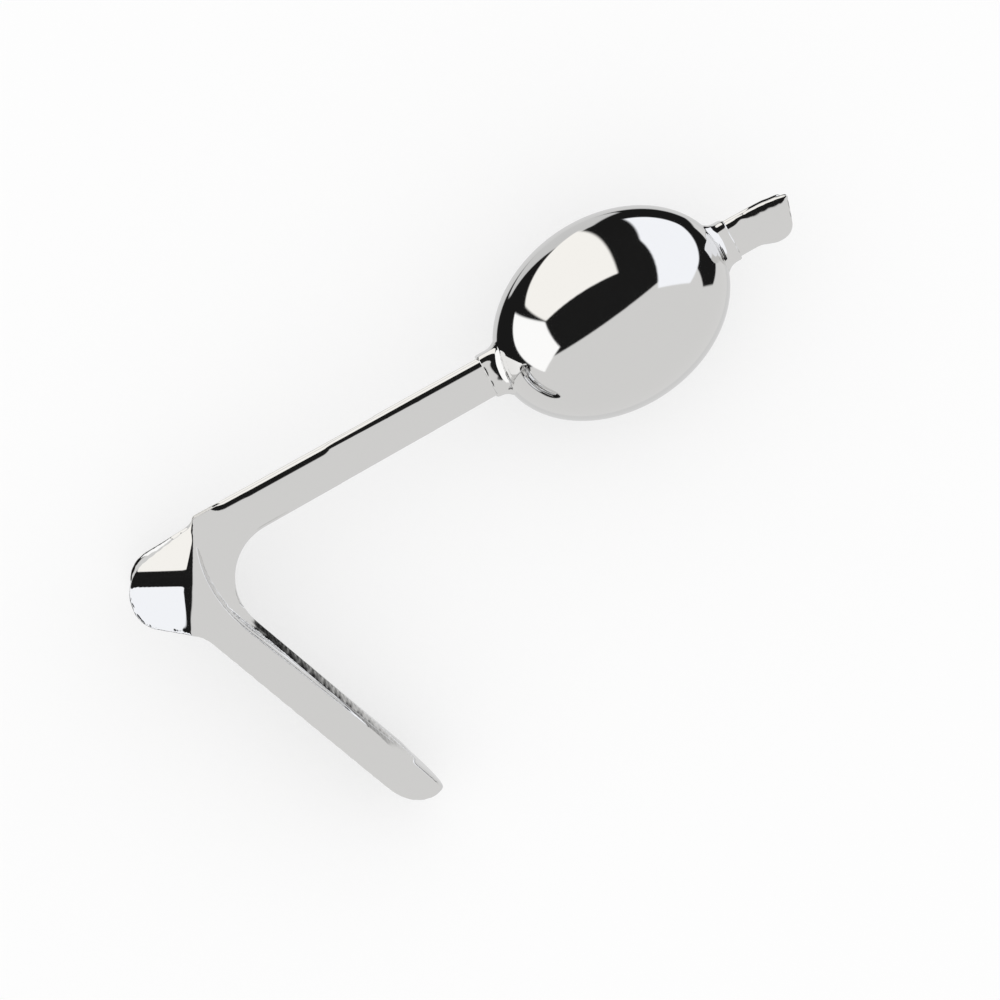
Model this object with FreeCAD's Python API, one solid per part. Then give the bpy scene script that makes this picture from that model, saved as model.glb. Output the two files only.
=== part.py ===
"""Weighted vaginal speculum: a trough blade with a flared mouth, a grooved handle bar with a spout at
its far end, and an egg-shaped weight brazed round the bar.

Working frame while building, in millimetres: X runs along the handle from the mouth to the spout, the
L lies in the plane Z = 0, the blade leaves towards -Y, and Z is the width. At the end the whole part
is laid on its side, on the weight, one ear of the mouth and the end of the blade, with +Z up.
"""
import FreeCAD, Part
import math
import os

V = FreeCAD.Vector

# Handle bar
bar_width = 10.0
bar_depth_at_bend = 12.8
bar_depth_at_spout = 11.4
bar_inner_round = 2.4
bar_outer_round = 0.7
bar_rise = 2.2
groove_width = 5.6
groove_depth = 2.8

# Weight
weight_across = 57.9
weight_along = 75.8
weight_centre_x = 165.1
weight_lean = 5.6
collar_wall = 0.8
collar_reach = 4.2
collar_blend = 4.0
braze_gap = 0.05

# Tail of the bar beyond the weight, and the spout that ends it
tail_length = 11.0
spout_length = 13.8
spout_neck_share = 0.35
spout_neck_drop = 1.0
spout_end_drop = 2.0
spout_end_depth = 13.0
spout_end_width = 15.0
spout_end_round = 3.8
spout_lip_round = 5.0
spout_wall = 1.8
spout_hollow_depth = 7.0
spout_end_lean = 17.0

# Bend between the handle and the blade
blade_angle = 68.8
bend_radius = 17.0
bend_corner_x = 19.8

# Blade
blade_length = 100.3
blade_width = 36.0
blade_depth = 12.6
blade_depth_at_tip = 12.0
blade_wall = 2.0
blade_floor_round = 5.0
blade_splay = 1.2
spine_at_mouth = 2.2
spine_at_tip = 0.5
spine_end_setback = 6.0
tip_side_reach = 14.0
tip_lip = 1.5
tip_plan_reach = 21.0
tip_floor_rise = 1.6
tip_stations = (0.985, 0.93, 0.84, 0.7, 0.5, 0.25, 0.0)
blade_stations = 5

# Mouth, where the floor of the trough rises round the heel and its walls flare into two ears
mouth_start = 21.7
heel_radius = 40.0
heel_narrow_half = 4.8
heel_narrow_power = 1.6
heel_stations = 8
flare_turn = 0.45
ear_reach = 23.4
ear_flare = 13.0
ear_flare_power = 1.7
ear_round = 11.0
ear_centre_x = 10.7
ear_centre_y = -8.0
ear_top_lean = 6.0
ear_bottom_lean = 42.0
rim_dip_round = 9.0

# Construction margins and steps
overrun = 4.0
reach_all = 60.0
wall_steps = 5
round_share = 0.4
groove_round_share = 0.8
hairline = 1e-6
coarse = 0.3
fine = 0.05
settle_rounds = 40


def direction(degrees):
    """Unit vector in the plane of the L, at an angle from +X."""
    angle = math.radians(degrees)
    return V(math.cos(angle), math.sin(angle), 0)


def smooth(value):
    """Smooth step from 0 to 1."""
    value = max(0.0, min(1.0, value))
    return value * value * (3 - 2 * value)


def meet(point_a, dir_a, point_b, dir_b):
    """Point where two lines in the plane of the L cross."""
    cross = dir_a.x * dir_b.y - dir_a.y * dir_b.x
    gap = point_b - point_a
    return point_a + dir_a * ((gap.x * dir_b.y - gap.y * dir_b.x) / cross)


def line(start, end):
    return Part.LineSegment(start, end).toShape()


def arc(start, middle, end):
    return Part.Arc(start, middle, end).toShape()


def prism(edges, low, high):
    """Solid between two heights above a closed outline in the plane of the L."""
    face = Part.Face(Part.Wire(edges))
    face.translate(V(0, 0, low))
    return face.extrude(V(0, 0, high - low))


# The two straight runs of the L
along_blade = direction(-blade_angle)
blade_out_angle = 270 - blade_angle
blade_out = direction(blade_out_angle)
bar_half = bar_depth_at_bend / 2
corner = V(bend_corner_x, -bar_half, 0)
bend_start = bend_radius / math.tan(math.radians(blade_angle / 2))
bend_in = direction(-blade_angle / 2)
bend_centre = corner + bend_in * (bend_radius / math.sin(math.radians(blade_angle / 2)))
taper_start_x = corner.x + bend_start
weight_end_x = weight_centre_x + weight_along / 2
spout_start_x = weight_end_x + tail_length
spout_end_x = spout_start_x + spout_length


def blade_point(along, out, width=0.0):
    """Point by its distance along the back of the blade and out from that back."""
    return corner + along_blade * along + blade_out * out + V(0, 0, width)


def spine_height(along):
    """Height of the spine under the floor of the trough."""
    run = (along - mouth_start) / (blade_length - mouth_start)
    return spine_at_mouth + (spine_at_tip - spine_at_mouth) * run


# Heel: the arc that the floor of the trough follows from the blade up to the handle's outer edge
heel_start = blade_point(mouth_start, spine_at_mouth)
heel_centre = heel_start - blade_out * heel_radius
heel_mid_radius = heel_radius + blade_wall / 2
heel_end_angle = 180 - math.degrees(math.asin((bar_half - heel_centre.y) / heel_mid_radius))
heel_sweep = blade_out_angle - heel_end_angle


def bar_half_depth(x):
    """Half of the bar's depth, which tapers from the bend to the spout."""
    run = (x - taper_start_x) / (spout_start_x - taper_start_x)
    return (bar_depth_at_bend + (bar_depth_at_spout - bar_depth_at_bend) * max(run, 0)) / 2


def bar_centre(x):
    """Height of the bar's centre line, which leans outwards from the bend to the weight's far end."""
    return bar_rise * max(0.0, (x - taper_start_x) / (weight_end_x - taper_start_x))


def rounded_section(x, low, high, half_width, inner_round, outer_round):
    """Rounded rectangle across the bar: inner_round at its low edge, outer_round at its high one."""
    def at(y, z):
        return V(x, y, z)

    def turn(y, z, y_sign, z_sign, radius, first_along_y):
        middle = at(y - y_sign * radius * (1 - math.sqrt(0.5)), z - z_sign * radius * (1 - math.sqrt(0.5)))
        side = at(y - y_sign * radius, z)
        end = at(y, z - z_sign * radius)
        return arc(side, middle, end) if first_along_y else arc(end, middle, side)

    w = half_width
    edges = [
        line(at(low, -w + inner_round), at(low, w - inner_round)),
        turn(low, w, -1, 1, inner_round, False),
        line(at(low + inner_round, w), at(high - outer_round, w)),
        turn(high, w, 1, 1, outer_round, True),
        line(at(high, w - outer_round), at(high, -w + outer_round)),
        turn(high, -w, 1, -1, outer_round, False),
        line(at(high - outer_round, -w), at(low + inner_round, -w)),
        turn(low, -w, -1, -1, inner_round, True),
    ]
    return Part.Wire(edges)


def bar_section(x, gap=0.0):
    """Section of the bar, grown by a gap for the bore or the collar round it."""
    half = bar_half_depth(x) + gap
    middle = bar_centre(x)
    return rounded_section(x, middle - half, middle + half, bar_width / 2 + gap,
                           bar_inner_round + gap, bar_outer_round + gap)


def straight_bar(gap=0.0):
    """Straight run of the bar through the weight, or the bore that takes it."""
    stations = [taper_start_x, spout_start_x]
    return Part.makeLoft([bar_section(x, gap) for x in stations], True, True)


def bent_bar():
    """Bar round the bend and on as the spine under the blade."""
    spine_end = blade_length - spine_end_setback
    spine_fade = spine_end - 2 * spine_end_setback
    heel_foot = blade_point(mouth_start, spine_at_mouth + blade_wall / 2)
    heel_mid = heel_centre + direction(blade_out_angle - heel_sweep / 2) * heel_mid_radius
    heel_top = heel_centre + direction(heel_end_angle) * heel_mid_radius
    spine_top = blade_point(spine_end, spine_height(spine_end) + blade_wall / 2)
    outline = [
        V(taper_start_x, bar_half, 0), heel_top, heel_foot, spine_top,
        blade_point(spine_fade, 0), blade_point(bend_start, 0), V(taper_start_x, -bar_half, 0),
    ]
    bend_mid = bend_centre - bend_in * bend_radius
    edges = [
        line(outline[0], outline[1]),
        arc(outline[1], heel_mid, outline[2]),
        line(outline[2], outline[3]),
        line(outline[3], outline[4]),
        line(outline[4], outline[5]),
        arc(outline[5], bend_mid, outline[6]),
        line(outline[6], outline[0]),
    ]
    blank = prism(edges, -bar_width / 2, bar_width / 2)
    inner = []
    for edge in blank.Edges:
        middle = edge.valueAt((edge.FirstParameter + edge.LastParameter) / 2)
        flat = V(middle.x, middle.y, 0)
        on_side = abs(abs(middle.z) - bar_width / 2) < hairline
        on_back = abs((flat - corner).dot(blade_out)) < hairline and middle.y < -bar_half
        on_bend = abs((flat - bend_centre).Length - bend_radius) < hairline
        if on_side and (on_back or on_bend):
            inner.append(edge)
    return blank.makeFillet(bar_inner_round, inner)


def floor_half_width(turn):
    """Half-width of the trough's floor; turn is 0 on the blade and 1 at the top of the heel."""
    wide = blade_width / 2 - blade_splay
    return wide + (heel_narrow_half - wide) * smooth(max(turn, 0) ** heel_narrow_power)


def flare_at(turn):
    """Flare of the trough's wall at the full reach of the ears."""
    on_blade = blade_splay * (ear_reach / blade_depth) ** ear_flare_power
    return on_blade + (ear_flare - on_blade) * smooth(turn / flare_turn)


def trough_section(base, angle, turn, inset, narrow=1.0):
    """Closed section of the trough, from its floor to beyond its rim; inset gives the hollow."""
    out = direction(angle)
    floor_half = (floor_half_width(turn) - inset) * narrow + inset
    flare = flare_at(turn)
    turn_round = min(blade_floor_round - inset / 2, round_share * (floor_half - inset))

    def half_width(depth):
        share = max(depth, 0) / ear_reach
        slope = ear_flare_power * flare * share ** (ear_flare_power - 1) / ear_reach
        return floor_half + flare * share ** ear_flare_power - inset * math.sqrt(1 + slope * slope)

    def at(depth, z):
        return base + out * depth + V(0, 0, z)

    bottom = inset
    wall_foot = bottom + turn_round
    wall_top = ear_reach + overrun
    foot_half = half_width(wall_foot)
    bevel = turn_round * (1 - math.sqrt(0.5))
    depths = [wall_foot + (wall_top - wall_foot) * k / wall_steps for k in range(wall_steps + 1)]
    edges = []
    for side in (1, -1):
        curve = Part.BSplineCurve()
        curve.interpolate([at(depth, side * half_width(depth)) for depth in depths])
        edges.append(arc(at(bottom, side * (foot_half - turn_round)),
                         at(bottom + bevel, side * (foot_half - bevel)),
                         at(wall_foot, side * foot_half)))
        edges.append(curve.toShape())
    floor_edge = foot_half - turn_round
    top_edge = half_width(wall_top)
    edges.append(line(at(bottom, -floor_edge), at(bottom, floor_edge)))
    edges.append(line(at(wall_top, top_edge), at(wall_top, -top_edge)))
    return Part.Wire(Part.__sortEdges__(edges))


def trough(inset):
    """Trough of the blade and mouth as one loft: whole for inset 0, its hollow for the wall's inset."""
    sections = []
    tip_start = blade_length - tip_plan_reach
    for share in tip_stations:
        along = tip_start + (tip_plan_reach - inset) * share
        narrow = math.sqrt(1 - share * share)
        base = blade_point(along, spine_height(along) + tip_floor_rise * (1 - narrow))
        sections.append(trough_section(base, blade_out_angle, 0, inset, narrow))
    for k in range(1, blade_stations):
        along = tip_start + (mouth_start - tip_start) * k / blade_stations
        sections.append(trough_section(blade_point(along, spine_height(along)), blade_out_angle, 0, inset))
    for k in range(heel_stations + 2):
        turn = k / heel_stations
        angle = blade_out_angle - heel_sweep * turn
        base = heel_centre + direction(angle) * heel_radius
        sections.append(trough_section(base, angle, turn, inset))
    return Part.makeLoft(sections, True, False)


def side_outline():
    """Prism of the side view of the trough: the rims, the ears and the sloping tip."""
    ear_centre = V(ear_centre_x, ear_centre_y, 0)
    top_line = direction(ear_top_lean)
    bottom_line = direction(-ear_bottom_lean)
    top_touch = ear_centre + direction(90 + ear_top_lean) * ear_round
    bottom_touch = ear_centre + direction(270 - ear_bottom_lean) * ear_round
    rim_start = blade_point(0, blade_depth)
    rim_end = blade_point(blade_length - tip_side_reach, blade_depth_at_tip)
    rim_lean = blade_angle - math.degrees(math.atan2(blade_depth - blade_depth_at_tip,
                                                     blade_length - tip_side_reach))
    rim_line = direction(-rim_lean)
    dip = meet(bottom_touch, bottom_line, rim_start, rim_line)
    dip_turn = rim_lean - ear_bottom_lean
    dip_run = rim_dip_round * math.tan(math.radians(dip_turn / 2))
    dip_in = dip - bottom_line * dip_run
    dip_out = dip + rim_line * dip_run
    dip_sag = rim_dip_round * (1 / math.cos(math.radians(dip_turn / 2)) - 1)
    dip_side = direction(-ear_bottom_lean - dip_turn / 2 - 90)
    dip_mid = dip + dip_side * dip_sag
    tip_centre = blade_point(blade_length - tip_side_reach, tip_lip)
    tip_point = blade_point(blade_length, tip_lip)
    tip_curve = Part.Ellipse(tip_point, rim_end, tip_centre)
    under_tip = blade_point(blade_length - 2 * tip_lip, -tip_lip)
    beyond = blade_point(blade_length - 2 * tip_lip, -bend_radius)
    inner_side = V(reach_all, -bar_half, 0)
    top_side = meet(top_touch, top_line, V(reach_all, 0, 0), V(0, 1, 0))
    edges = [
        line(top_side, top_touch),
        arc(top_touch, ear_centre - V(ear_round, 0, 0), bottom_touch),
        line(bottom_touch, dip_in),
        arc(dip_in, dip_mid, dip_out),
        line(dip_out, rim_end),
        Part.ArcOfEllipse(tip_curve, 0, math.pi / 2).toShape(),
        line(tip_point, under_tip),
        line(under_tip, beyond),
        line(beyond, inner_side),
        line(inner_side, top_side),
    ]
    return prism(Part.__sortEdges__(edges), -reach_all, reach_all)


def spout():
    """Spout at the end of the bar: a lip that drops and widens, cut to a lean with a round lower corner."""
    middle = bar_centre(spout_start_x)
    half = bar_half_depth(spout_start_x)
    end_half = spout_end_depth / 2

    def lip_section(x, share):
        low = middle - half - (end_half - half + spout_neck_drop * share + spout_end_drop * (1 - share))
        high = middle + half - spout_end_drop * (1 - share)
        width = bar_width / 2 + (spout_end_width - bar_width) / 2 * (x - spout_start_x) / spout_length
        return rounded_section(x, low, high, width, spout_end_round, bar_outer_round)

    neck = lip_section(spout_start_x + spout_neck_share * spout_length, 1)
    end = lip_section(spout_end_x + overrun, 0)
    body = Part.makeLoft([bar_section(spout_start_x), neck, end], True, False)
    lean_line = direction(-90 - spout_end_lean)
    base_line = direction(180)
    top = V(spout_end_x, middle + half, 0)
    low_corner = meet(top, lean_line, V(spout_end_x, middle - end_half - spout_neck_drop, 0), base_line)
    turn = 90 - spout_end_lean
    run = spout_lip_round * math.tan(math.radians(turn / 2))
    arc_start = low_corner - lean_line * run
    arc_end = low_corner + base_line * run
    arc_centre = arc_end + V(0, spout_lip_round, 0)
    arc_mid = arc_centre + direction(-90 + turn / 2) * spout_lip_round
    above = top - lean_line * overrun
    low_left = arc_end + base_line * spout_length
    high_left = V(low_left.x, above.y, 0)
    edges = [
        line(above, arc_start),
        arc(arc_start, arc_mid, arc_end),
        line(arc_end, low_left),
        line(low_left, high_left),
        line(high_left, above),
    ]
    return body.common(prism(edges, -reach_all, reach_all))


def groove():
    """Drain groove in the outer edge of the bar, deepening into the spout."""
    def channel(x, depth, half_width):
        top = bar_centre(x) + bar_half_depth(x)
        return rounded_section(x, top - depth, top + overrun, half_width,
                               groove_round_share * min(depth, half_width), bar_outer_round)

    def plain(x):
        return channel(x, groove_depth, groove_width / 2)

    stations = [heel_centre.x - heel_mid_radius, taper_start_x, spout_start_x]
    run = Part.makeLoft([plain(x) for x in stations], True, True)
    mouth = channel(spout_end_x + overrun, spout_hollow_depth, spout_end_width / 2 - spout_wall)
    return run.fuse(Part.makeLoft([plain(spout_start_x), mouth], True, True))


def speculum_body():
    """Blade, mouth, handle bar and spout: one forging."""
    shell = trough(0).common(side_outline())
    bar = straight_bar().fuse(bent_bar()).fuse(spout())
    body = bar.fuse(shell).cut(trough(blade_wall)).cut(groove())
    return body.removeSplitter()


def weight():
    """Egg-shaped casting, leaning a little on the bar, with a thin collar and a wide fillet at each end."""
    half_along, half_across = weight_along / 2, weight_across / 2
    centre = V(weight_centre_x, 0, 0)
    long_way = direction(weight_lean)
    ellipse = Part.Ellipse(centre + long_way * half_along, centre + direction(weight_lean + 90) * half_across,
                           centre)
    half_profile = [Part.ArcOfEllipse(ellipse, 0, math.pi).toShape(),
                    line(centre - long_way * half_along, centre + long_way * half_along)]
    egg = Part.Face(Part.Wire(half_profile)).revolve(centre, long_way, 360)
    low_end = weight_centre_x - half_along - collar_reach
    stations = [low_end, weight_end_x + collar_reach]
    collars = Part.makeLoft([bar_section(x, collar_wall) for x in stations], True, True)
    casting = egg.fuse(collars).removeSplitter()

    def on_egg(point):
        along = (point - centre).dot(long_way) / half_along
        across = (point - centre - long_way * (point - centre).dot(long_way)).Length / half_across
        return abs(along ** 2 + across ** 2 - 1) < hairline ** 0.5

    rings = []
    for edge in casting.Edges:
        middle = edge.valueAt((edge.FirstParameter + edge.LastParameter) / 2)
        if on_egg(middle) and math.hypot(middle.y, middle.z) < bar_depth_at_bend:
            rings.append(edge)
    return casting.makeFillet(collar_blend, rings).cut(straight_bar(braze_gap))


def lowest_of_egg(down):
    """Lowest point of the weight along a direction."""
    axes = [direction(weight_lean) * (weight_along / 2), direction(weight_lean + 90) * (weight_across / 2),
            V(0, 0, weight_across / 2)]
    pulls = [axis.dot(down) for axis in axes]
    size = math.sqrt(sum(pull ** 2 for pull in pulls))
    point = V(weight_centre_x, 0, 0)
    for axis, pull in zip(axes, pulls):
        point += axis * (pull / size)
    return point


def resting_turn(shapes):
    """Rotation that lays the part on its side, on the weight, one ear and the end of the blade."""
    points = [point for shape in shapes for point in shape.tessellate(coarse)[0]]
    ears = [point for point in points if point.x < ear_centre_x + ear_round and point.y > -reach_all / 2]
    tips = [point for point in points if point.y < -blade_length / 2]
    down = V(0, 0, -1)
    for _ in range(settle_rounds):
        ear = max(ears, key=down.dot)
        tip = max(tips, key=down.dot)
        down = (tip - ear).cross(lowest_of_egg(down) - ear).normalize()
        if down.z > 0:
            down = down * -1
    return FreeCAD.Rotation(down, V(0, 0, -1))


os.makedirs("parts", exist_ok=True)
pieces = {"speculum_body": speculum_body(), "weight": weight()}
turn_down = resting_turn(pieces.values())
for shape in pieces.values():
    shape.rotate(V(0, 0, 0), turn_down.Axis, math.degrees(turn_down.Angle))
points = [point for shape in pieces.values() for point in shape.tessellate(fine)[0]]
middle = [(max(p[k] for p in points) + min(p[k] for p in points)) / 2 for k in range(2)]
floor = min(p.z for p in points)
for name, shape in pieces.items():
    shape.translate(V(-middle[0], -middle[1], -floor))
    shape.exportStep("parts/" + name + ".step")
    print(name, "solids", len(shape.Solids), "valid", shape.isValid())
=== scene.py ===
"""Looks of a weighted vaginal speculum, lying on its side on a plain pale floor.

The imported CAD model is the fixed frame. Both of its pieces are polished by hand on the real instrument,
so each one gets a finer skin here: the CAD surface is remeshed, its edges are eased as a buffing wheel
eases them, and the weight's skin is set back on its true egg. Three forms of the forging are only shaded
and not shaped, by custom normals: see HandFinish. All of it is mirror-polished stainless steel, so the
studio that it mirrors is part of the scene: windows, a light strip, a table, a dark side and a grey side.
"""

import logging
import math
from dataclasses import dataclass
from enum import Enum

import bmesh
import bpy
import numpy as np
from mathutils import Matrix, Vector

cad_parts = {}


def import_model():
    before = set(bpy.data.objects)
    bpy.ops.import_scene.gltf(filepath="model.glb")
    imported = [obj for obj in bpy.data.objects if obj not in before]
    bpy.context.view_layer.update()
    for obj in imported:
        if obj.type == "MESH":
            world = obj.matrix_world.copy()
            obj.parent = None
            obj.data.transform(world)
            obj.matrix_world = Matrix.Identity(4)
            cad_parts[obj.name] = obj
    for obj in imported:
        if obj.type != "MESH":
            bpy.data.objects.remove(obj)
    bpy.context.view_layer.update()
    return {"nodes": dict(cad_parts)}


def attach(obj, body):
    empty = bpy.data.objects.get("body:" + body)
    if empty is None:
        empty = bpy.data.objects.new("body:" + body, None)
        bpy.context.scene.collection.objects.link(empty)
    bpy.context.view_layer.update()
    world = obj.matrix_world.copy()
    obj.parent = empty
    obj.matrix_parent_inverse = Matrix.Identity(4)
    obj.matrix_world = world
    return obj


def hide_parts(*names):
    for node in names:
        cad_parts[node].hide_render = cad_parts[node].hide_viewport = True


LOG = logging.getLogger("speculum")
WELD_SHARE = 0.01  # share of the grain within which the CAD mesh's points are joined
TINY = 1e-9  # keeps a division by a length off zero

Corner = tuple[float, float]
Colour = tuple[float, float, float]


class Node(Enum):
    """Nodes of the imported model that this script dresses."""

    BODY = "speculum_body"
    WEIGHT = "weight"


@dataclass(frozen=True)
class Polish:
    """How far a piece is worked down by the buffing wheel.

    Attributes:
        grain: Size of the fine mesh's cells, in metres.
        passes: Number of smoothing passes over the fine mesh.
        strength: Share of the way that each pass moves a point towards its neighbours.
    """

    grain: float
    passes: int
    strength: float


class NodeBuilder:
    """Adds and links nodes in one tree, left to right."""

    def __init__(self, tree: bpy.types.NodeTree) -> None:
        """Clears the tree.

        Args:
            tree: The node tree to build in.
        """
        self.tree = tree
        tree.nodes.clear()

    def add(self, kind: str, label: str = "", **values: object) -> bpy.types.Node:
        """Adds a node, sets its properties and labels it.

        Args:
            kind: Blender's type name of the node.
            label: Label to show on the node.
            **values: Properties of the node by name.

        Returns:
            The new node.
        """
        node = self.tree.nodes.new(kind)
        node.label = label
        for name, value in values.items():
            setattr(node, name, value)
        return node

    def link(self, output: bpy.types.NodeSocket, socket: bpy.types.NodeSocket) -> None:
        """Links an output to an input."""
        self.tree.links.new(output, socket)

    def operate(self, node: bpy.types.Node, values: tuple[object, ...]) -> bpy.types.NodeSocket:
        """Feeds a maths node with its values.

        Args:
            node: The node to feed.
            values: A socket, a plain number or a plain vector for each of its inputs, in order.

        Returns:
            The node's result.
        """
        for index, value in enumerate(values):
            if isinstance(value, bpy.types.NodeSocket):
                self.link(value, node.inputs[index])
            else:
                node.inputs[index].default_value = value
        return next(output for output in node.outputs if output.enabled)

    def number(self, operation: str, *values: object, label: str = "") -> bpy.types.NodeSocket:
        """Adds a Math node and returns its result."""
        return self.operate(self.add("ShaderNodeMath", label, operation=operation), values)

    def vector(self, operation: str, *values: object, label: str = "") -> bpy.types.NodeSocket:
        """Adds a Vector Math node and returns its result."""
        return self.operate(self.add("ShaderNodeVectorMath", label, operation=operation), values)

    def scale(self, vector: bpy.types.NodeSocket, factor: bpy.types.NodeSocket) -> bpy.types.NodeSocket:
        """Scales a vector.

        Args:
            vector: The vector to scale.
            factor: The factor to scale it by.

        Returns:
            The scaled vector.
        """
        node = self.add("ShaderNodeVectorMath", operation="SCALE")
        self.link(vector, node.inputs[0])
        self.link(factor, node.inputs["Scale"])
        return node.outputs["Vector"]

    def mix_colour(self, factor: bpy.types.NodeSocket, below: bpy.types.NodeSocket, colour: Colour,
                   label: str) -> bpy.types.NodeSocket:
        """Lays a plain colour over another.

        Args:
            factor: Share of the plain colour.
            below: The colour that it is laid over.
            colour: The plain colour.
            label: Label to show on the node.

        Returns:
            The mixed colour.
        """
        node = self.add("ShaderNodeMix", label, data_type="RGBA")
        self.link(factor, node.inputs["Factor"])
        self.link(below, node.inputs["A"])
        node.inputs["B"].default_value = (*colour, 1.0)
        return node.outputs["Result"]

    def mix_shader(self, factor: bpy.types.NodeSocket, first: bpy.types.Node, second: bpy.types.Node,
                   label: str) -> bpy.types.NodeSocket:
        """Mixes two shaders.

        Args:
            factor: Share of the second shader.
            first: The first shader's node.
            second: The second shader's node.
            label: Label to show on the node.

        Returns:
            The mixed shader.
        """
        node = self.add("ShaderNodeMixShader", label)
        for socket, output in zip(node.inputs, (factor, first.outputs[0], second.outputs[0])):
            self.link(output, socket)
        return node.outputs[0]


@dataclass(frozen=True)
class SteelFinish:
    """Mirror-polished stainless steel.

    Attributes:
        colour: Colour of the metal's reflection.
        roughness: Roughness of the polished surface.
        haze: Largest extra roughness, in the faint clouds that handling leaves.
        cloud_size: Size of those clouds, in metres.
        wave_size: Length of the faint waves that hand polishing leaves, in metres.
        wave_height: Height of those waves, in metres.
    """

    colour: Colour = (0.80, 0.797, 0.79)
    roughness: float = 0.035
    haze: float = 0.02
    cloud_size: float = 0.03
    wave_size: float = 0.012
    wave_height: float = 0.000004

    def build(self) -> bpy.types.Material:
        """Makes the finish's material.

        Returns:
            The new material.
        """
        material = bpy.data.materials.new("polished_steel")
        material.use_nodes = True
        nodes = NodeBuilder(material.node_tree)
        place = nodes.add("ShaderNodeTexCoord").outputs["Object"]
        clouds = nodes.add("ShaderNodeTexNoise", "handling clouds")
        nodes.link(place, clouds.inputs["Vector"])
        clouds.inputs["Scale"].default_value = 1 / self.cloud_size
        rough = nodes.add("ShaderNodeMapRange", "haze")
        nodes.link(clouds.outputs["Fac"], rough.inputs["Value"])
        rough.inputs["To Min"].default_value = self.roughness
        rough.inputs["To Max"].default_value = self.roughness + self.haze
        shader = nodes.add("ShaderNodeBsdfPrincipled", "steel")
        shader.inputs["Metallic"].default_value = 1.0
        shader.inputs["Base Color"].default_value = (*self.colour, 1.0)
        nodes.link(rough.outputs["Result"], shader.inputs["Roughness"])
        waves = nodes.add("ShaderNodeTexNoise", "polishing waves")
        nodes.link(place, waves.inputs["Vector"])
        waves.inputs["Scale"].default_value = 1 / self.wave_size
        waves.inputs["Detail"].default_value = 0.0
        bump = nodes.add("ShaderNodeBump", "polishing waves")
        nodes.link(waves.outputs["Fac"], bump.inputs["Height"])
        bump.inputs["Distance"].default_value = self.wave_height
        nodes.link(bump.outputs["Normal"], shader.inputs["Normal"])
        output = nodes.add("ShaderNodeOutputMaterial")
        nodes.link(shader.outputs[0], output.inputs["Surface"])
        return material


@dataclass(frozen=True)
class PolishedPiece:
    """A CAD node with a fine, polished skin.

    Attributes:
        node: The CAD node that the skin stands for.
        material_slot: Name of the record's material slot for the skin; it is not used.
        polish: How the skin is worked.
    """

    node: Node
    material_slot: str
    polish: Polish

    def build(self, source: bpy.types.Object, material: bpy.types.Material) -> bpy.types.Object:
        """Makes the skin and puts it in the CAD node's place.

        Args:
            source: The CAD node's object.
            material: The skin's material.

        Returns:
            The skin's object.
        """
        mesh = source.data.copy()
        piece = bpy.data.objects.new(self.node.value + "_skin", mesh)
        bpy.context.scene.collection.objects.link(piece)
        self.weld(mesh)
        self.remesh(piece)
        self.work_down(piece.data)
        self.true_up(piece, material)
        piece.data.materials.clear()
        piece.data.materials.append(material)
        piece.data.polygons.foreach_set("use_smooth", [True] * len(piece.data.polygons))
        self.dress(piece.data)
        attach(piece, "root")
        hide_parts(self.node.value)
        return piece

    def weld(self, mesh: bpy.types.Mesh) -> None:
        """Joins the CAD mesh's loose triangles at their shared points.

        Args:
            mesh: The mesh to weld.
        """
        work = bmesh.new()
        work.from_mesh(mesh)
        bmesh.ops.remove_doubles(work, verts=work.verts, dist=self.polish.grain * WELD_SHARE)
        work.to_mesh(mesh)
        work.free()

    def remesh(self, piece: bpy.types.Object) -> None:
        """Remeshes a piece to even, fine cells.

        Args:
            piece: The piece to remesh.
        """
        modifier = piece.modifiers.new("grain", "REMESH")
        modifier.mode = "VOXEL"
        modifier.voxel_size = self.polish.grain
        apply_modifiers(piece)

    def work_down(self, mesh: bpy.types.Mesh) -> None:
        """Smooths a mesh, as a buffing wheel does.

        Args:
            mesh: The mesh to smooth.
        """
        work = bmesh.new()
        work.from_mesh(mesh)
        for _ in range(self.polish.passes):
            bmesh.ops.smooth_vert(work, verts=work.verts, factor=self.polish.strength,
                                  use_axis_x=True, use_axis_y=True, use_axis_z=True)
        work.to_mesh(mesh)
        work.free()

    def true_up(self, piece: bpy.types.Object, material: bpy.types.Material) -> None:
        """Sets the skin on its true shape, which a hand-shaped piece goes without."""

    def dress(self, mesh: bpy.types.Mesh) -> None:
        """Dresses the skin, which a plain piece goes without."""


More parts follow.
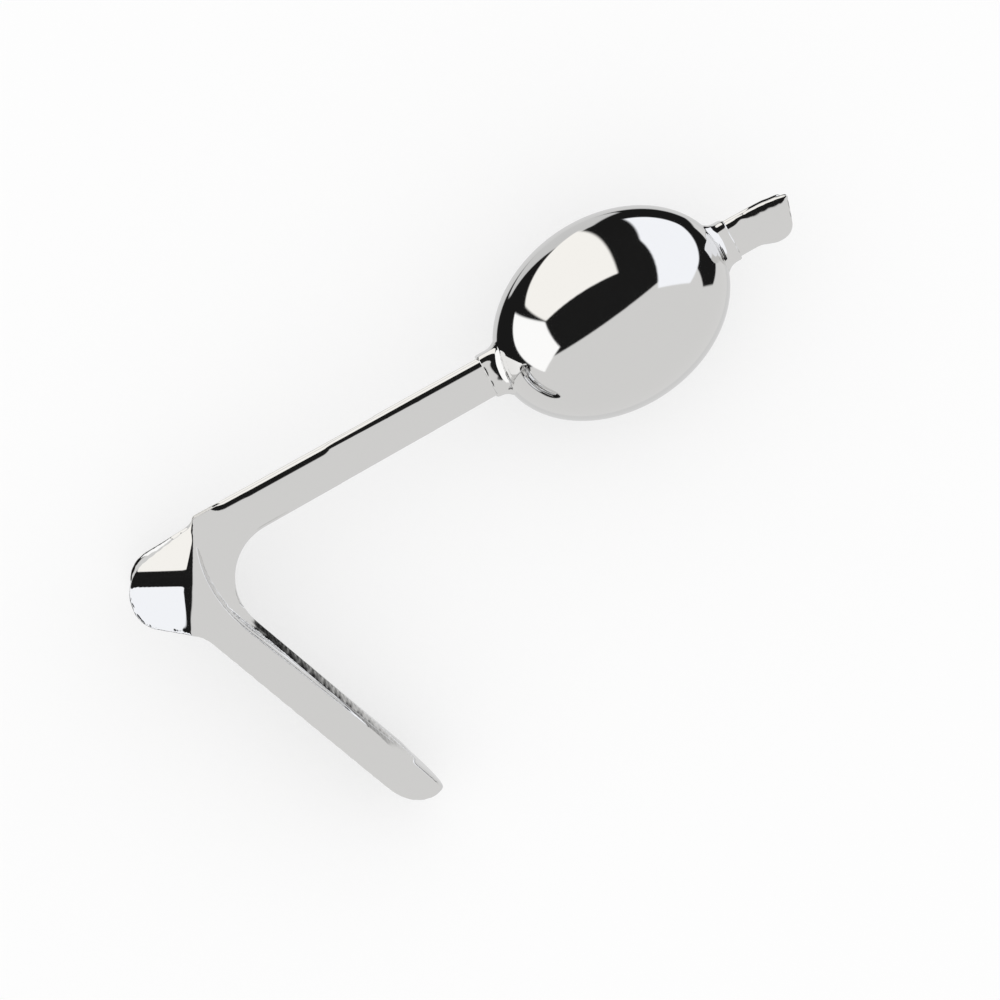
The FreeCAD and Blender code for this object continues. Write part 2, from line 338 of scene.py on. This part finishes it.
@dataclass(frozen=True)
class HandFinish:
    """How the flats, the near ear and the spine's edge of the forging are shaded by custom normals.

    These turn the direction in which a face shades and leave the mesh as it is. Places are in the model's
    frame, in metres, seen from above.

    Attributes:
        flat: Direction that the flats of the bar and the blade face.
        crease: Points along the lower corner of the trough.
        crease_reach: Distance from the crease over which it is dressed flat.
        fold_point: A point on the fold between the near ear and the flats.
        fold_across: Direction across the fold, away from the ear.
        fold_reach: Distance from the fold over which the blade's side is dressed flat.
        fold_places: Places along the fold, from its point towards the bar.
        fold_rounds: Width of the rounding at the fold at these places.
        facing: Cosines to the flats' direction between which a face starts to be dressed flat.
        spine_points: Number of points of the crease, from its far end, that run along the spine's edge.
        spine_reach: Distance from that edge over which its corner is dressed.
        spine_facing: Cosines to the flats' direction between which the corner begins.
        spine_lean: Lean of the dressed corner from the flats, in degrees.
        fold_core: Share of the fold's reach within which the side is dressed in full.
        core: Share of the crease's and the spine's reach within which they are dressed in full.
        lowest: Height above which the dressing is seen.
        turn_places: Places along the ear, from the fold's point towards the bar.
        turn_angles: Direction that the ear's face turns to at these places, in degrees from +X.
    """

    flat: tuple[float, float, float] = (-0.00643, -0.12232, 0.99247)
    crease: tuple[Corner, ...] = (
        (-0.0905, 0.0360), (-0.0926, 0.0275), (-0.0922, 0.0226), (-0.0908, 0.0192), (-0.0884, 0.0140),
        (-0.0840, 0.0036), (-0.0788, -0.0101), (-0.0732, -0.0246), (-0.0679, -0.0397), (-0.0644, -0.0515),
    )
    crease_reach: float = 0.0145
    fold_point: Corner = (-0.0930, 0.0273)
    fold_across: Corner = (0.909, -0.418)
    fold_reach: float = 0.010
    fold_places: tuple[float, ...] = (-0.0180, -0.0060, 0.0, 0.0090)
    fold_rounds: tuple[float, ...] = (0.0030, 0.0048, 0.0040, 0.0008)
    facing: tuple[float, float] = (0.35, 0.55)
    spine_points: int = 6
    spine_reach: float = 0.0017
    spine_facing: tuple[float, float] = (0.62, 0.80)
    spine_lean: float = 19.0
    fold_core: float = 0.5
    core: float = 0.75
    lowest: float = 0.022
    turn_places: tuple[float, ...] = (-0.0200, -0.0100, -0.0046, -0.0038, 0.0, 0.0018, 0.0080)
    turn_angles: tuple[float, ...] = (30.0, 28.0, 28.0, 56.0, 68.0, 82.0, 88.0)


@dataclass(frozen=True)
class ForgedPiece(PolishedPiece):
    """The forging, whose flats, near ear and spine's edge are dressed by custom normals.

    Attributes:
        hand: How they are dressed.
    """

    node: Node = Node.BODY
    material_slot: str = "forged_steel"
    polish: Polish = Polish(grain=0.00054, passes=14, strength=0.5)
    hand: HandFinish = HandFinish()

    def dress(self, mesh: bpy.types.Mesh) -> None:
        """Dresses the skin, by the directions in which its faces shade.

        Args:
            mesh: The skin's mesh.
        """
        hand = self.hand
        places = read_vectors(mesh.vertices, "co")
        normals = read_vectors(mesh.vertex_normals, "vector")
        flat = np.array(hand.flat)
        across = np.array(hand.fold_across)
        along = np.array((-across[1], across[0]))
        offset = places[:, :2] - np.array(hand.fold_point)
        from_fold = offset @ across
        up_fold = offset @ along
        facing = normals @ flat
        seen = (places[:, 2] > hand.lowest) & (facing > 0)

        rounding = np.interp(up_fold, hand.fold_places, hand.fold_rounds)
        ear = seen * (1 - smooth_step(-1.0, 0.0, from_fold / rounding))
        normals = self.turn_ear(normals, ear, up_fold)

        by_fold = within(from_fold, hand.fold_reach, hand.fold_core)
        by_crease = within(from_line(hand.crease, places), hand.crease_reach, hand.core)
        level = seen * smooth_step(*hand.facing, facing) * np.maximum(by_crease, by_fold) * (1 - ear)
        leaning = self.spine_corner(normals)
        normals = blend(normals, flat, level)

        edge = hand.crease[-hand.spine_points:]
        by_edge = within(from_line(edge, places), hand.spine_reach, hand.core)
        corner = (1 - smooth_step(*hand.spine_facing, facing)) * seen * by_edge
        normals = blend(normals, leaning, corner)
        normals /= np.linalg.norm(normals, axis=1)[:, None]
        mesh.normals_split_custom_set_from_vertices(normals.tolist())

    def turn_ear(self, normals: np.ndarray, ear: np.ndarray, up_fold: np.ndarray) -> np.ndarray:
        """Turns the ear's face about the flats' direction as it runs up towards the bar.

        Args:
            normals: Normal of each point.
            ear: Share by which each point belongs to the ear.
            up_fold: Place of each point along the fold, towards the bar.

        Returns:
            The turned normals.
        """
        flat = np.array(self.hand.flat)
        upright = (normals @ flat)[:, None] * flat
        side = normals - upright
        lean = np.linalg.norm(side, axis=1)
        turned = np.radians(np.interp(up_fold, self.hand.turn_places, self.hand.turn_angles))
        first = np.array((1.0, 0.0, 0.0)) - flat[0] * flat
        first /= np.linalg.norm(first)
        second = np.cross(flat, first)
        round_ear = np.outer(lean * np.cos(turned), first) + np.outer(lean * np.sin(turned), second)
        return upright + blend(side, round_ear, ear)

    def spine_corner(self, normals: np.ndarray) -> np.ndarray:
        """Leans every normal from the flats' direction by the spine corner's lean.

        Args:
            normals: Normal of each point.

        Returns:
            The leaning normals.
        """
        flat = np.array(self.hand.flat)
        side = normals - (normals @ flat)[:, None] * flat
        side /= np.linalg.norm(side, axis=1)[:, None] + TINY
        lean = math.radians(self.hand.spine_lean)
        return math.cos(lean) * flat + math.sin(lean) * side


@dataclass(frozen=True)
class EggShape:
    """The weight's egg, as it lies in the model's frame.

    Attributes:
        centre: Middle of the egg, in metres.
        long_way: Direction of its long axis.
        half_along: Half its length, in metres.
        half_across: Half its thickness, in metres.
        reach: Distance from the true egg within which the skin is set on it, in metres.
        core: Share of that reach within which the skin is set on the egg in full.
    """

    centre: tuple[float, float, float] = (0.051568, 0.035870, 0.028954)
    long_way: tuple[float, float, float] = (0.99517, 0.09646, 0.01834)
    half_along: float = 0.0379
    half_across: float = 0.02895
    reach: float = 0.0003
    core: float = 0.5


@dataclass(frozen=True)
class CastPiece(PolishedPiece):
    """The cast weight, whose skin is set on its true egg by a Geometry Nodes tree.

    Attributes:
        egg: The egg that the skin is set on.
    """

    node: Node = Node.WEIGHT
    material_slot: str = "cast_steel"
    polish: Polish = Polish(grain=0.00054, passes=8, strength=0.5)
    egg: EggShape = EggShape()

    def true_up(self, piece: bpy.types.Object, material: bpy.types.Material) -> None:
        """Sets the skin on the egg, apart from the collars and their fillets.

        Args:
            piece: The skin's object.
            material: The skin's material.
        """
        modifier = piece.modifiers.new("egg", "NODES")
        modifier.node_group = self.egg_tree()
        sizes = {
            "Centre": self.egg.centre,
            "Long Way": self.egg.long_way,
            "Half Along": self.egg.half_along,
            "Half Across": self.egg.half_across,
            "Reach": self.egg.reach,
            "Core": self.egg.core,
            "Material": material,
        }
        for item in modifier.node_group.interface.items_tree:
            if item.name in sizes:
                modifier[item.identifier] = sizes[item.name]
        apply_modifiers(piece)

    def egg_tree(self) -> bpy.types.NodeTree:
        """Makes the tree: a point near the egg moves along its line to the middle until it lies on it.

        Returns:
            The new tree.
        """
        tree = bpy.data.node_groups.new("egg_skin", "GeometryNodeTree")
        sockets = tree.interface.new_socket
        sockets("Geometry", in_out="INPUT", socket_type="NodeSocketGeometry")
        for name in ("Centre", "Long Way"):
            sockets(name, in_out="INPUT", socket_type="NodeSocketVector")
        for name in ("Half Along", "Half Across", "Reach", "Core"):
            sockets(name, in_out="INPUT", socket_type="NodeSocketFloat")
        sockets("Material", in_out="INPUT", socket_type="NodeSocketMaterial")
        sockets("Geometry", in_out="OUTPUT", socket_type="NodeSocketGeometry")
        nodes = NodeBuilder(tree)
        given = nodes.add("NodeGroupInput").outputs
        place = nodes.add("GeometryNodeInputPosition").outputs[0]
        offset = nodes.vector("SUBTRACT", place, given["Centre"])
        reach_along = nodes.vector("DOT_PRODUCT", offset, given["Long Way"])
        along = nodes.number("DIVIDE", reach_along, given["Half Along"])
        aside = nodes.vector("SUBTRACT", offset, nodes.scale(given["Long Way"], reach_along))
        across = nodes.number("DIVIDE", nodes.vector("LENGTH", aside), given["Half Across"])
        squares = nodes.number("ADD", nodes.number("MULTIPLY", along, along),
                               nodes.number("MULTIPLY", across, across))
        share = nodes.number("SQRT", squares)
        on_egg = nodes.scale(offset, nodes.number("DIVIDE", 1.0, share))
        gap = nodes.number("ABSOLUTE", nodes.number("SUBTRACT", share, 1.0))
        depth = nodes.number("MULTIPLY", gap, given["Half Across"])
        near = nodes.add("ShaderNodeMapRange", "near the egg", interpolation_type="SMOOTHSTEP")
        nodes.link(nodes.number("DIVIDE", depth, given["Reach"]), near.inputs["Value"])
        nodes.link(given["Core"], near.inputs["From Min"])
        for name, value in (("From Max", 1.0), ("To Min", 1.0), ("To Max", 0.0)):
            near.inputs[name].default_value = value
        moved = nodes.add("GeometryNodeSetPosition")
        nodes.link(given["Geometry"], moved.inputs["Geometry"])
        nodes.link(nodes.scale(nodes.vector("SUBTRACT", on_egg, offset), near.outputs["Result"]),
                   moved.inputs["Offset"])
        real = nodes.add("GeometryNodeRealizeInstances")
        nodes.link(moved.outputs[0], real.inputs[0])
        dressed = nodes.add("GeometryNodeSetMaterial")
        nodes.link(real.outputs[0], dressed.inputs["Geometry"])
        nodes.link(given["Material"], dressed.inputs["Material"])
        nodes.link(dressed.outputs[0], nodes.add("NodeGroupOutput").inputs[0])
        return tree


@dataclass(frozen=True)
class CameraSetup:
    """The photograph's camera, which looks down on the part.

    Attributes:
        tilt_x: Lean of the line of sight towards +X, in degrees.
        tilt_y: Lean of the line of sight towards +Y, in degrees.
        roll: Turn of the picture about the line of sight, in degrees.
        distance: Distance from the camera to the target, in metres.
        pixels_per_metre: Scale of the photograph at the target.
        target: Point that the scale and the picture place are given for.
        picture_place: Where the target lies in the photograph, in pixels.
        picture_size: Side of the square photograph, in pixels.
        sensor: Width of the camera's sensor, in millimetres.
    """

    tilt_x: float = -2.70
    tilt_y: float = -0.96
    roll: float = 28.64
    distance: float = 1.2
    pixels_per_metre: float = 3379.0
    target: tuple[float, float, float] = (0.0, 0.0, 0.03)
    picture_place: tuple[float, float] = (517.3, 502.1)
    picture_size: int = 1000
    sensor: float = 36.0

    def axes(self) -> tuple[Vector, Vector, Vector]:
        """Works out the camera's own directions.

        Returns:
            The picture's right, its up and the direction back to the camera.
        """
        back = Vector((math.tan(math.radians(self.tilt_x)), math.tan(math.radians(self.tilt_y)), 1.0))
        back.normalize()
        roll = math.radians(self.roll)
        right = Vector((math.cos(roll), -math.sin(roll), 0.0))
        right = (right - back * right.dot(back)).normalized()
        return right, back.cross(right), back

    def towards(self, off_axis: float, around: float) -> Vector:
        """Works out a direction in the studio.

        Args:
            off_axis: Angle off the line of sight, in degrees.
            around: Angle round the line of sight, in degrees from the picture's right towards its top.

        Returns:
            The direction.
        """
        right, up, back = self.axes()
        off, turn = math.radians(off_axis), math.radians(around)
        return back * math.cos(off) + (right * math.cos(turn) + up * math.sin(turn)) * math.sin(off)

    def build(self) -> None:
        """Makes the camera and sets it on the scene."""
        right, up, back = self.axes()
        middle = self.picture_size / 2
        aside = (middle - self.picture_place[0]) / self.pixels_per_metre
        above = (self.picture_place[1] - middle) / self.pixels_per_metre
        place = Vector(self.target) + right * aside + up * above + back * self.distance
        data = bpy.data.cameras.new("camera")
        data.sensor_width = self.sensor
        data.lens = self.pixels_per_metre * self.distance * self.sensor / self.picture_size
        camera = bpy.data.objects.new("camera", data)
        camera.matrix_world = Matrix((
            (right.x, up.x, back.x, place.x),
            (right.y, up.y, back.y, place.y),
            (right.z, up.z, back.z, place.z),
            (0, 0, 0, 1),
        ))
        bpy.context.scene.collection.objects.link(camera)
        bpy.context.scene.camera = camera


@dataclass(frozen=True)
class Panel:
    """A window, light strip or dark card of the studio, as the polished steel mirrors it.

    Attributes:
        name: What the panel is called in the node tree.
        corners: Directions of its corners, in order round it, as (degrees off the camera's axis,
            degrees round that axis from the picture's right towards its top).
        colour: Brightness of the panel in red, green and blue.
    """

    name: str
    corners: tuple[Corner, ...]
    colour: Colour


@dataclass(frozen=True)
class Studio:
    """The room that the steel mirrors. All else sees plain white in its place.

    Attributes:
        camera: The camera whose axis the studio's directions are given from.
        grey_edge: Two directions on the edge between the grey side and the dark side.
        grey: Brightness of the plain grey side.
        dark: Brightness of the dark side.
        grey_reach: How far the grey side reaches past its edge, as the sine of an angle.
        table: Brightness of the table, which is mirrored in steeply turned faces.
        table_edge: Angle off the camera's axis at which the table begins, in degrees.
        edge_softness: Half-width of each edge between two regions, as the sine of an angle.
        panels: The panels, in the order in which they cover each other.
    """

    camera: CameraSetup
    grey_edge: tuple[Corner, Corner] = ((13.8, -85.7), (39.5, 22.9))
    grey: Colour = (0.765, 0.762, 0.757)
    dark: Colour = (0.012, 0.012, 0.012)
    grey_reach: float = 0.085
    table: Colour = (0.70, 0.70, 0.70)
    table_edge: float = 143.0
    edge_softness: float = 0.02
    panels: tuple[Panel, ...] = (
        Panel("dark_card",
              ((96, 64), (131, 64), (130, 45), (118, 22), (108, 6), (88, 6), (83, 26)),
              (0.012, 0.012, 0.012)),
        Panel("rim_light",
              ((112, 113), (118, 122), (114, 134), (114, 152), (150, 155), (150, 134), (146, 112), (146, 100),
               (136, 96)),
              (0.66, 0.66, 0.66)),
        Panel("main_window",
              ((39.5, 92.5), (57.2, 172.6), (92.7, 158.9), (125.2, 114.4)),
              (1.12, 1.10, 1.06)),
        Panel("side_window",
              ((76.4, 82.0), (39.5, 22.9), (70.9, 12.6), (89.0, 27.8), (115.6, 62.3), (116.2, 94.5)),
              (1.10, 1.12, 1.17)),
        Panel("low_window",
              ((57.9, 173.5), (45.0, -145.8), (74.3, -132.7), (96.3, -172.5), (105.1, 163.3)),
              (1.2, 1.2, 1.2)),
    )

    def build(self) -> None:
        """Makes the world and sets it on the scene."""
        world = bpy.data.worlds.new("studio")
        world.use_nodes = True
        bpy.context.scene.world = world
        nodes = NodeBuilder(world.node_tree)
        painted = nodes.add("ShaderNodeBackground", "painted studio")
        nodes.link(self.paint(nodes), painted.inputs["Color"])
        plain = nodes.add("ShaderNodeBackground", "plain white")
        plain.inputs["Color"].default_value = (1.0, 1.0, 1.0, 1.0)
        rays = nodes.add("ShaderNodeLightPath").outputs["Is Glossy Ray"]
        output = nodes.add("ShaderNodeOutputWorld")
        nodes.link(nodes.mix_shader(rays, plain, painted, "steel or floor"), output.inputs["Surface"])

    def paint(self, nodes: NodeBuilder) -> bpy.types.NodeSocket:
        """Paints the room, from its dark side to its panels.

        Args:
            nodes: The tree to build in.

        Returns:
            The room's colour in the direction being shaded.
        """
        heading = nodes.add("ShaderNodeTexCoord", "heading").outputs["Generated"]
        base = nodes.add("ShaderNodeRGB", "dark side")
        base.outputs[0].default_value = (*self.dark, 1.0)
        first, second = (self.camera.towards(*corner) for corner in self.grey_edge)
        grey_side = self.side(nodes, heading, second.cross(first).normalized(), "grey side",
                              self.grey_reach)
        colour = nodes.mix_colour(grey_side, base.outputs[0], self.grey, "grey side")
        down = -self.camera.axes()[2]
        table = self.side(nodes, heading, down, "table", math.cos(math.radians(self.table_edge)))
        colour = nodes.mix_colour(table, colour, self.table, "table")
        for panel in self.panels:
            inside = self.inside(nodes, heading, panel)
            colour = nodes.mix_colour(inside, colour, panel.colour, panel.name)
        return colour

    def side(self, nodes: NodeBuilder, heading: bpy.types.NodeSocket, normal: Vector,
             label: str, reach: float = 0.0) -> bpy.types.NodeSocket:
        """Tells one side of a plane through the middle of the studio from the other.

        Args:
            nodes: The tree to build in.
            heading: The direction being shaded.
            normal: Normal of the plane, towards the side that counts.
            label: Label of the new nodes.
            reach: How far that side reaches past the plane, as the sine of an angle.

        Returns:
            A factor of 1 on that side and 0 on the other.
        """
        step = nodes.add("ShaderNodeMapRange", label, interpolation_type="SMOOTHSTEP")
        nodes.link(nodes.vector("DOT_PRODUCT", heading, normal, label=label), step.inputs["Value"])
        step.inputs["From Min"].default_value = -reach - self.edge_softness
        step.inputs["From Max"].default_value = -reach + self.edge_softness
        return step.outputs["Result"]

    def inside(self, nodes: NodeBuilder, heading: bpy.types.NodeSocket,
               panel: Panel) -> bpy.types.NodeSocket:
        """Tells the inside of a panel from its outside, as the product over its edges.

        Args:
            nodes: The tree to build in.
            heading: The direction being shaded.
            panel: The panel.

        Returns:
            A factor of 1 inside the panel and 0 outside.
        """
        corners = [self.camera.towards(*corner) for corner in panel.corners]
        middle = sum(corners, Vector()) / len(corners)
        factor = None
        for start, end in zip(corners, corners[1:] + corners[:1]):
            normal = start.cross(end).normalized()
            if normal.dot(middle) < 0:
                normal = -normal
            edge = self.side(nodes, heading, normal, panel.name)
            factor = edge if factor is None else nodes.number("MULTIPLY", factor, edge, label=panel.name)
        return factor


@dataclass(frozen=True)
class Floor:
    """The plain pale floor that the part lies on.

    Attributes:
        size: Side of the floor, in metres.
        brightness: Share of the light that it gives back.
        shadow_lift: Share of plain white in what the camera sees of it, so that its shadow stays faint.
    """

    size: float = 8.0
    brightness: float = 0.97
    shadow_lift: float = 0.55

    def build(self) -> None:
        """Makes the floor, which the steel doesn't mirror."""
        mesh = bpy.data.meshes.new("floor")
        half = self.size / 2
        mesh.from_pydata([(-half, -half, 0), (half, -half, 0), (half, half, 0), (-half, half, 0)], [],
                         [(0, 1, 2, 3)])
        mesh.materials.append(self.matt_white())
        plane = bpy.data.objects.new("floor", mesh)
        bpy.context.scene.collection.objects.link(plane)
        plane.visible_glossy = False

    def matt_white(self) -> bpy.types.Material:
        """Makes the floor's material.

        Returns:
            The new material.
        """
        material = bpy.data.materials.new("floor")
        material.use_nodes = True
        nodes = NodeBuilder(material.node_tree)
        shader = nodes.add("ShaderNodeBsdfPrincipled", "matt white")
        shader.inputs["Base Color"].default_value = (self.brightness, self.brightness, self.brightness, 1.0)
        shader.inputs["Roughness"].default_value = 1.0
        shader.inputs["Specular IOR Level"].default_value = 0.0
        rays = nodes.add("ShaderNodeLightPath").outputs["Is Camera Ray"]
        share = nodes.number("MULTIPLY", rays, self.shadow_lift)
        white = nodes.add("ShaderNodeEmission", "plain white")
        output = nodes.add("ShaderNodeOutputMaterial")
        nodes.link(nodes.mix_shader(share, shader, white, "faint shadow"), output.inputs["Surface"])
        return material


def read_vectors(items: bpy.types.bpy_prop_collection, name: str) -> np.ndarray:
    """Reads one vector from each item of a mesh's collection.

    Args:
        items: The collection.
        name: Name of the vector.

    Returns:
        The vectors, one to a row.
    """
    values = np.empty(len(items) * 3)
    items.foreach_get(name, values)
    return values.reshape(-1, 3)


def smooth_step(low: float, high: float, value: np.ndarray) -> np.ndarray:
    """Returns a soft step from 0 at low to 1 at high."""
    share = np.clip((value - low) / (high - low), 0.0, 1.0)
    return share * share * (3 - 2 * share)


def within(gap: np.ndarray, reach: float, core: float) -> np.ndarray:
    """Returns 1 for a gap in the core share of a reach, falling softly to 0 at the reach."""
    return 1 - smooth_step(reach * core, reach, gap)


def blend(below: np.ndarray, above: np.ndarray, share: np.ndarray) -> np.ndarray:
    """Returns rows of vectors that go from one set to another by a share for each row."""
    return below * (1 - share[:, None]) + above * share[:, None]


def from_line(line: tuple[Corner, ...], places: np.ndarray) -> np.ndarray:
    """Measures how far places lie from a line of points, seen from above.

    Args:
        line: The line's points.
        places: The places, one to a row.

    Returns:
        The distance of each place.
    """
    flat_places = places[:, :2]
    nearest = np.full(len(places), np.inf)
    points = [np.array(point) for point in line]
    for start, end in zip(points, points[1:]):
        run = end - start
        share = np.clip((flat_places - start) @ run / (run @ run), 0.0, 1.0)
        gap = np.linalg.norm(flat_places - start - share[:, None] * run, axis=1)
        nearest = np.minimum(nearest, gap)
    return nearest


def apply_modifiers(piece: bpy.types.Object) -> None:
    """Turns a piece with its modifiers into a plain mesh.

    Args:
        piece: The piece, which is left without modifiers.
    """
    graph = bpy.context.evaluated_depsgraph_get()
    baked = bpy.data.meshes.new_from_object(piece.evaluated_get(graph), depsgraph=graph)
    piece.modifiers.clear()
    old = piece.data
    piece.data = baked
    bpy.data.meshes.remove(old)


def main() -> None:
    """Dresses the part and sets up the studio, the camera and the floor."""
    logging.basicConfig(level=logging.INFO)
    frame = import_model()
    steel = SteelFinish().build()
    for piece in (ForgedPiece(), CastPiece()):
        skin = piece.build(frame["nodes"][piece.node.value], steel)
        LOG.info("%s: %d faces", skin.name, len(skin.data.polygons))
    camera = CameraSetup()
    Studio(camera).build()
    camera.build()
    Floor().build()
    bpy.context.scene.view_settings.view_transform = "Standard"


if __name__ == "__main__":
    main()
